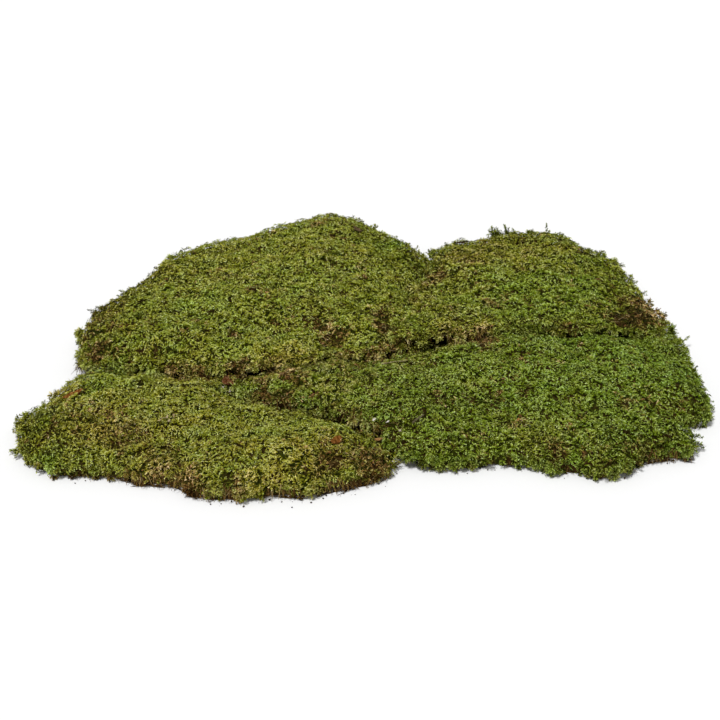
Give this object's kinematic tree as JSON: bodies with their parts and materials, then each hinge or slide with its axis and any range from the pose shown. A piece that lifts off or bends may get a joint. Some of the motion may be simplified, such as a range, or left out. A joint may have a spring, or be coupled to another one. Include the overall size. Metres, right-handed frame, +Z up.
{
  "type": "moss clump",
  "caption": "Low, wide clump of carpet moss: overlapping ragged mats with lumpy green tops, brown rims and a little leaf litter, for dressing ground, pots or models.",
  "frame": {"origin": "middle of the base of the whole clump's bounding box, on the ground that the mats lie on", "axes": "+X to the right and +Y to the back as the picture shows it, +Z up; the mats' grown side faces +Z"},
  "size_m": [0.6056, 0.5416, 0.0415],
  "materials": {
    "moss_front_left": "matte",
    "moss_front_right": "matte",
    "moss_back_left": "matte",
    "moss_back_right": "matte",
    "rust_leaf": "matte",
    "red_leaf": "matte",
    "pale_twig": "matte",
    "grey_twig": "matte",
    "dark_bark": "matte",
    "brown_bark": "matte"
  },
  "bodies": {
    "root": {"mat_front_left": "moss_front_left", "mat_front_right": "moss_front_right", "mat_back_left": "moss_back_left", "mat_back_right": "moss_back_right", "leaf_flake_left": "rust_leaf", "leaf_curled": "red_leaf", "leaf_flake_middle": "rust_leaf", "leaf_crumb": "rust_leaf", "twig_pale": "pale_twig", "twig_grey": "grey_twig", "bark_strip": "dark_bark", "bark_chip": "brown_bark"}
  },
  "joints": []
}
